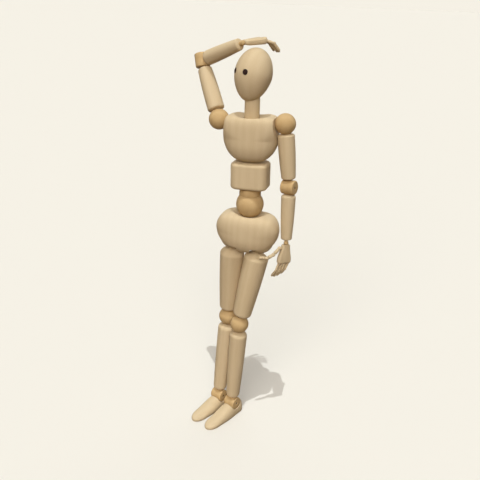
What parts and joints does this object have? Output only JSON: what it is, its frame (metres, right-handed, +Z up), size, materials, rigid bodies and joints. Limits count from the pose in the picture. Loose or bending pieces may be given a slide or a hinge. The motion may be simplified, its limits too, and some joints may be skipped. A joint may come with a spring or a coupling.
{
  "type": "artist mannequin",
  "caption": "Wooden artist mannequin that stands with one hand held over its head, with ball joints, pinned elbows and ankles, and jointed fingers.",
  "frame": {"origin": "below the middle of the figure's bounding box, on the plane that the soles stand on", "axes": "+Z up, -Y the way that the chest and pelvis face, +X the figure's own left"},
  "size_m": [0.113, 0.0748, 0.4018],
  "materials": {
    "pale_wood": "sanded and lightly waxed pale hardwood",
    "amber_wood": "sanded wood, a little more yellow",
    "dark_stud": "dark stained bead, half gloss",
    "steel": "cut wire end"
  },
  "bodies": {
    "pelvis": {"pelvis": "pale_wood"},
    "waist_ball": {"waist_ball": "amber_wood"},
    "waist_collar": {"waist_collar": "amber_wood"},
    "abdomen": {"abdomen": "pale_wood"},
    "chest": {"chest": "pale_wood"},
    "neck": {"neck": "pale_wood"},
    "head": {"head": "pale_wood", "eye_left": "dark_stud", "eye_right": "dark_stud"},
    "shoulder_ball_left": {"shoulder_ball_left": "amber_wood"},
    "upper_arm_left": {"upper_arm_left": "pale_wood"},
    "elbow_barrel_left": {"elbow_barrel_left": "amber_wood", "elbow_pin_left": "steel"},
    "forearm_left": {"forearm_left": "pale_wood"},
    "wrist_peg_left": {"wrist_peg_left": "amber_wood"},
    "palm_left": {"palm_left": "pale_wood"},
    "index_first_left": {"index_first_left": "pale_wood"},
    "index_last_left": {"index_last_left": "pale_wood"},
    "middle_first_left": {"middle_first_left": "pale_wood"},
    "middle_last_left": {"middle_last_left": "pale_wood"},
    "ring_first_left": {"ring_first_left": "pale_wood"},
    "ring_last_left": {"ring_last_left": "pale_wood"},
    "little_first_left": {"little_first_left": "pale_wood"},
    "little_last_left": {"little_last_left": "pale_wood"},
    "thumb_first_left": {"thumb_first_left": "pale_wood"},
    "thumb_middle_left": {"thumb_middle_left": "pale_wood"},
    "thumb_last_left": {"thumb_last_left": "pale_wood"},
    "shoulder_ball_right": {"shoulder_ball_right": "amber_wood"},
    "upper_arm_right": {"upper_arm_right": "pale_wood"},
    "elbow_barrel_right": {"elbow_barrel_right": "amber_wood", "elbow_pin_right": "steel"},
    "forearm_right": {"forearm_right": "pale_wood"},
    "wrist_peg_right": {"wrist_peg_right": "amber_wood"},
    "palm_right": {"palm_right": "pale_wood"},
    "index_first_right": {"index_first_right": "pale_wood"},
    "index_last_right": {"index_last_right": "pale_wood"},
    "middle_first_right": {"middle_first_right": "pale_wood"},
    "middle_last_right": {"middle_last_right": "pale_wood"},
    "ring_first_right": {"ring_first_right": "pale_wood"},
    "ring_last_right": {"ring_last_right": "pale_wood"},
    "little_first_right": {"little_first_right": "pale_wood"},
    "little_last_right": {"little_last_right": "pale_wood"},
    "thumb_first_right": {"thumb_first_right": "pale_wood"},
    "thumb_middle_right": {"thumb_middle_right": "pale_wood"},
    "thumb_last_right": {"thumb_last_right": "pale_wood"},
    "hip_ball_left": {"hip_ball_left": "pale_wood"},
    "thigh_left": {"thigh_left": "pale_wood"},
    "knee_ball_left": {"knee_ball_left": "amber_wood"},
    "shin_left": {"shin_left": "pale_wood"},
    "ankle_barrel_left": {"ankle_barrel_left": "amber_wood", "ankle_pin_left": "steel"},
    "foot_left": {"foot_left": "pale_wood"},
    "hip_ball_right": {"hip_ball_right": "pale_wood"},
    "thigh_right": {"thigh_right": "pale_wood"},
    "knee_ball_right": {"knee_ball_right": "amber_wood"},
    "shin_right": {"shin_right": "pale_wood"},
    "ankle_barrel_right": {"ankle_barrel_right": "amber_wood", "ankle_pin_right": "steel"},
    "foot_right": {"foot_right": "pale_wood"}
  },
  "joints": [
    {"name": "waist_bend", "type": "hinge", "parent": "pelvis", "child": "waist_ball", "pos_m": [0.01096, 0.00607, 0.24705], "axis": [0.9997, 0.0002, 0.0262], "range_deg": [-25, 20]},
    {"name": "waist_side", "type": "hinge", "parent": "waist_ball", "child": "waist_collar", "pos_m": [0.01096, 0.00607, 0.24705], "axis": [0, 1, -0.0087], "range_deg": [-25, 4]},
    {"name": "waist_turn", "type": "hinge", "parent": "waist_collar", "child": "abdomen", "pos_m": [0.01096, 0.00607, 0.24705], "axis": [-0.0262, 0.0087, 0.9996], "range_deg": [-45, 45]},
    {"name": "chest_bend", "type": "hinge", "parent": "abdomen", "child": "chest", "pos_m": [0.00924, 0.00664, 0.31253], "axis": [0.9998, 0.0002, 0.0175], "range_deg": [-20, 6]},
    {"name": "neck_turn", "type": "hinge", "parent": "chest", "child": "neck", "pos_m": [0.009, 0.00676, 0.32622], "axis": [-0.0175, 0.0087, 0.9998], "range_deg": [-70, 70]},
    {"name": "head_nod", "type": "hinge", "parent": "neck", "child": "head", "pos_m": [0.00858, 0.00697, 0.35022], "axis": [0.8192, -0.5736, 0], "range_deg": [-12, 12]},
    {"name": "shoulder_swing_left", "type": "hinge", "parent": "chest", "child": "shoulder_ball_left", "pos_m": [0.04097, 0.00677, 0.32808], "axis": [-0.9898, -0.0012, -0.1426], "range_deg": [-4, 110]},
    {"name": "shoulder_spread_left", "type": "hinge", "parent": "shoulder_ball_left", "child": "upper_arm_left", "pos_m": [0.04097, 0.00677, 0.32808], "axis": [0, -1, 0.0087], "range_deg": [0, 85]},
    {"name": "elbow_turn_left", "type": "hinge", "parent": "upper_arm_left", "child": "elbow_barrel_left", "pos_m": [0.04851, 0.00656, 0.26846], "axis": [-0.1253, 0.0035, 0.9921], "range_deg": [-15, 75]},
    {"name": "elbow_bend_left", "type": "hinge", "parent": "elbow_barrel_left", "child": "forearm_left", "pos_m": [0.04851, 0.00656, 0.26846], "axis": [-0.9609, 0.2735, -0.0421], "range_deg": [-20, 95]},
    {"name": "wrist_turn_left", "type": "hinge", "parent": "forearm_left", "child": "wrist_peg_left", "pos_m": [0.05007, 0.00344, 0.21257], "axis": [-0.0279, 0.0558, 0.9981], "range_deg": [-20, 80]},
    {"name": "wrist_bend_left", "type": "hinge", "parent": "wrist_peg_left", "child": "palm_left", "pos_m": [0.05007, 0.00344, 0.21257], "axis": [0.7413, 0.6683, -0.0622], "range_deg": [-60, 15]},
    {"name": "index_root_left", "type": "hinge", "parent": "palm_left", "child": "index_first_left", "pos_m": [0.04504, -0.00083, 0.19124], "axis": [0.724, 0.6546, -0.2175], "range_deg": [-40, 28]},
    {"name": "index_middle_left", "type": "hinge", "parent": "index_first_left", "child": "index_last_left", "pos_m": [0.04264, -0.0009, 0.18303], "axis": [0.724, 0.6546, -0.2175], "range_deg": [-60, 60]},
    {"name": "middle_root_left", "type": "hinge", "parent": "palm_left", "child": "middle_first_left", "pos_m": [0.04764, 0.00151, 0.19102], "axis": [0.7194, 0.6507, -0.243], "range_deg": [-40, 28]},
    {"name": "middle_middle_left", "type": "hinge", "parent": "middle_first_left", "child": "middle_last_left", "pos_m": [0.04494, 0.00129, 0.18243], "axis": [0.7194, 0.6507, -0.243], "range_deg": [-60, 60]},
    {"name": "ring_root_left", "type": "hinge", "parent": "palm_left", "child": "ring_first_left", "pos_m": [0.05023, 0.00385, 0.1908], "axis": [0.7143, 0.6464, -0.2683], "range_deg": [-40, 28]},
    {"name": "ring_middle_left", "type": "hinge", "parent": "ring_first_left", "child": "ring_last_left", "pos_m": [0.04748, 0.00349, 0.18262], "axis": [0.7143, 0.6464, -0.2683], "range_deg": [-60, 60]},
    {"name": "little_root_left", "type": "hinge", "parent": "palm_left", "child": "little_first_left", "pos_m": [0.05282, 0.00619, 0.19058], "axis": [0.7086, 0.6417, -0.2935], "range_deg": [-40, 28]},
    {"name": "little_middle_left", "type": "hinge", "parent": "little_first_left", "child": "little_last_left", "pos_m": [0.05034, 0.00576, 0.18365], "axis": [0.7086, 0.6417, -0.2935], "range_deg": [-60, 60]},
    {"name": "thumb_root_left", "type": "hinge", "parent": "palm_left", "child": "thumb_first_left", "pos_m": [0.04474, -0.0013, 0.2076], "axis": [-0.6691, 0.7431, 0.0091], "range_deg": [-25, 45]},
    {"name": "thumb_middle_left", "type": "hinge", "parent": "thumb_first_left", "child": "thumb_middle_left", "pos_m": [0.03988, -0.0056, 0.20166], "axis": [-0.6691, 0.7431, 0.0091], "range_deg": [-40, 40]},
    {"name": "thumb_tip_left", "type": "hinge", "parent": "thumb_middle_left", "child": "thumb_last_left", "pos_m": [0.03478, -0.01016, 0.19884], "axis": [-0.6691, 0.7431, 0.0091], "range_deg": [-40, 40]},
    {"name": "shoulder_swing_right", "type": "hinge", "parent": "chest", "child": "shoulder_ball_right", "pos_m": [-0.02302, 0.00677, 0.32697], "axis": [-0.9942, 0.0009, 0.108], "range_deg": [-60, 60]},
    {"name": "shoulder_spread_right", "type": "hinge", "parent": "shoulder_ball_right", "child": "upper_arm_right", "pos_m": [-0.02302, 0.00677, 0.32697], "axis": [0, 1, -0.0087], "range_deg": [-80, 2]},
    {"name": "elbow_turn_right", "type": "hinge", "parent": "upper_arm_right", "child": "elbow_barrel_right", "pos_m": [-0.04836, 0.02919, 0.37714], "axis": [0.4188, -0.3705, -0.829], "range_deg": [-60, 60]},
    {"name": "elbow_bend_right", "type": "hinge", "parent": "elbow_barrel_right", "child": "forearm_right", "pos_m": [-0.04836, 0.02919, 0.37714], "axis": [-0.2464, 0.2827, 0.927], "range_deg": [-60, 60]},
    {"name": "wrist_turn_right", "type": "hinge", "parent": "forearm_right", "child": "wrist_peg_right", "pos_m": [-0.00208, 0.00465, 0.39692], "axis": [-0.8265, 0.4383, -0.3533], "range_deg": [-60, 8]},
    {"name": "wrist_bend_right", "type": "hinge", "parent": "wrist_peg_right", "child": "palm_right", "pos_m": [-0.00208, 0.00465, 0.39692], "axis": [-0.6947, 0.7193, 0], "range_deg": [-60, 2]},
    {"name": "index_root_right", "type": "hinge", "parent": "palm_right", "child": "index_first_right", "pos_m": [0.0098, 0.02342, 0.39919], "axis": [-0.6431, 0.7658, 0.0073], "range_deg": [-15, 18]},
    {"name": "index_middle_right", "type": "hinge", "parent": "index_first_right", "child": "index_last_right", "pos_m": [0.01608, 0.02872, 0.39683], "axis": [-0.6431, 0.7658, 0.0073], "range_deg": [-50, 50]},
    {"name": "middle_root_right", "type": "hinge", "parent": "palm_right", "child": "middle_first_right", "pos_m": [0.01223, 0.0209, 0.39919], "axis": [-0.5599, 0.8284, 0.0182], "range_deg": [-40, 18]},
    {"name": "middle_middle_right", "type": "hinge", "parent": "middle_first_right", "child": "middle_last_right", "pos_m": [0.01937, 0.02578, 0.3967], "axis": [-0.5599, 0.8284, 0.0182], "range_deg": [-50, 50]},
    {"name": "ring_root_right", "type": "hinge", "parent": "palm_right", "child": "ring_first_right", "pos_m": [0.01466, 0.01838, 0.39919], "axis": [-0.4706, 0.8819, 0.0288], "range_deg": [-40, 18]},
    {"name": "ring_middle_right", "type": "hinge", "parent": "ring_first_right", "child": "ring_last_right", "pos_m": [0.02195, 0.02235, 0.39678], "axis": [-0.4706, 0.8819, 0.0288], "range_deg": [-50, 50]},
    {"name": "little_root_right", "type": "hinge", "parent": "palm_right", "child": "little_first_right", "pos_m": [0.01709, 0.01586, 0.39919], "axis": [-0.3761, 0.9258, 0.0392], "range_deg": [-40, 18]},
    {"name": "little_middle_right", "type": "hinge", "parent": "little_first_right", "child": "little_last_right", "pos_m": [0.02362, 0.0186, 0.39711], "axis": [-0.3761, 0.9258, 0.0392], "range_deg": [-50, 50]},
    {"name": "thumb_root_right", "type": "hinge", "parent": "palm_right", "child": "thumb_first_right", "pos_m": [-0.00294, 0.01327, 0.39749], "axis": [-0.0752, -0.0726, 0.9945], "range_deg": [0, 45]},
    {"name": "thumb_middle_right", "type": "hinge", "parent": "thumb_first_right", "child": "thumb_middle_right", "pos_m": [0.00143, 0.02086, 0.39837], "axis": [-0.0752, -0.0726, 0.9945], "range_deg": [-3, 60]},
    {"name": "thumb_tip_right", "type": "hinge", "parent": "thumb_middle_right", "child": "thumb_last_right", "pos_m": [0.00615, 0.0265, 0.39914], "axis": [-0.0752, -0.0726, 0.9945], "range_deg": [-6, 50]},
    {"name": "hip_swing_left", "type": "hinge", "parent": "pelvis", "child": "hip_ball_left", "pos_m": [0.02388, 0.00607, 0.21034], "axis": [-0.9774, -0.2079, 0.037], "range_deg": [0, 20]},
    {"name": "hip_spread_left", "type": "hinge", "parent": "hip_ball_left", "child": "thigh_left", "pos_m": [0.02388, 0.00607, 0.21034], "axis": [0, -1, 0], "range_deg": [0, 10]},
    {"name": "knee_bend_left", "type": "hinge", "parent": "thigh_left", "child": "knee_ball_left", "pos_m": [0.00705, 0.0004, 0.11488], "axis": [0.9092, -0.4163, 0], "range_deg": [0, 90]},
    {"name": "knee_turn_left", "type": "hinge", "parent": "knee_ball_left", "child": "shin_left", "pos_m": [0.00705, 0.0004, 0.11488], "axis": [0.0488, -0.0087, 0.9988], "range_deg": [-5, 30]},
    {"name": "ankle_turn_left", "type": "hinge", "parent": "shin_left", "child": "ankle_barrel_left", "pos_m": [0.00212, 0.00127, 0.0142], "axis": [0.0488, -0.0087, 0.9988], "range_deg": [-5, 25]},
    {"name": "ankle_bend_left", "type": "hinge", "parent": "ankle_barrel_left", "child": "foot_left", "pos_m": [0.00212, 0.00127, 0.0142], "axis": [0.9092, -0.4163, 0], "range_deg": [-30, 40]},
    {"name": "hip_swing_right", "type": "hinge", "parent": "pelvis", "child": "hip_ball_right", "pos_m": [-0.0047, 0.00607, 0.21142], "axis": [-0.9265, 0.3746, 0.035], "range_deg": [-12, 40]},
    {"name": "hip_spread_right", "type": "hinge", "parent": "hip_ball_right", "child": "thigh_right", "pos_m": [-0.0047, 0.00607, 0.21142], "axis": [0, 1, 0], "range_deg": [0, 35]},
    {"name": "knee_bend_right", "type": "hinge", "parent": "thigh_right", "child": "knee_ball_right", "pos_m": [-0.0096, 0.01351, 0.11473], "axis": [0.9092, -0.4163, 0], "range_deg": [0, 90]},
    {"name": "knee_turn_right", "type": "hinge", "parent": "knee_ball_right", "child": "shin_right", "pos_m": [-0.0096, 0.01351, 0.11473], "axis": [-0.0627, -0.0383, -0.9973], "range_deg": [-5, 30]},
    {"name": "ankle_turn_right", "type": "hinge", "parent": "shin_right", "child": "ankle_barrel_right", "pos_m": [-0.01592, 0.00964, 0.0142], "axis": [-0.0627, -0.0383, -0.9973], "range_deg": [-5, 25]},
    {"name": "ankle_bend_right", "type": "hinge", "parent": "ankle_barrel_right", "child": "foot_right", "pos_m": [-0.01592, 0.00964, 0.0142], "axis": [0.9092, -0.4163, 0], "range_deg": [-30, 40]}
  ]
}
